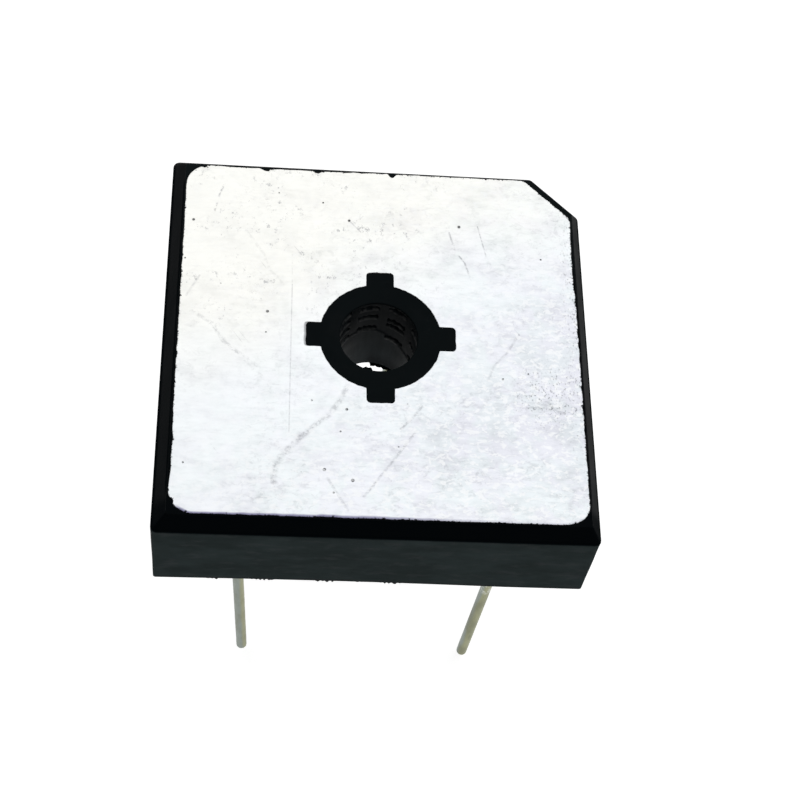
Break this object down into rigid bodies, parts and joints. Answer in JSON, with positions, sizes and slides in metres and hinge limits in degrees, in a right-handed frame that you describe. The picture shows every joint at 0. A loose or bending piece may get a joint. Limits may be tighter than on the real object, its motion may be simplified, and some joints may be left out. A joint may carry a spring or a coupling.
{
  "type": "bridge rectifier",
  "caption": "Square encapsulated bridge rectifier standing on its wire leads, with a flush aluminium base plate, a keyed sleeve round the centre screw hole and a chamfered corner.",
  "frame": {"origin": "under the middle of the square case, level with the tips of the leads", "axes": "+Z out of the base plate, away from the leads; +X and +Y along the case's sides, with the chamfered corner at +X+Y"},
  "size_m": [0.0286, 0.0286, 0.0329],
  "materials": {
    "case_plastic": "moulded, dull black",
    "plate_aluminium": "brushed, with fine scratches",
    "insulator_ceramic": "matt white",
    "cast_resin": "cast, dull black",
    "copper": "bare rolled copper",
    "silicon": "polished dark grey",
    "solder": "satin solder",
    "tinned_wire": "solder-dipped copper wire"
  },
  "bodies": {
    "root": {"case": "case_plastic", "base_plate": "plate_aluminium", "insulator": "insulator_ceramic", "potting": "cast_resin", "plus_frame": "copper", "ac1_frame": "copper", "ac2_frame": "copper", "ac1_clip": "copper", "ac2_clip": "copper", "minus_clip": "copper", "die_1": "silicon", "die_2": "silicon", "die_3": "silicon", "die_4": "silicon", "die_solder_1": "solder", "die_solder_2": "solder", "die_solder_3": "solder", "die_solder_4": "solder", "clip_solder_1": "solder", "clip_solder_2": "solder", "clip_solder_3": "solder", "clip_solder_4": "solder", "lead_plus": "tinned_wire", "lead_minus": "tinned_wire", "lead_ac1": "tinned_wire", "lead_ac2": "tinned_wire", "joint_plus": "solder", "joint_minus": "solder", "joint_ac1": "solder", "joint_ac2": "solder"}
  },
  "joints": []
}
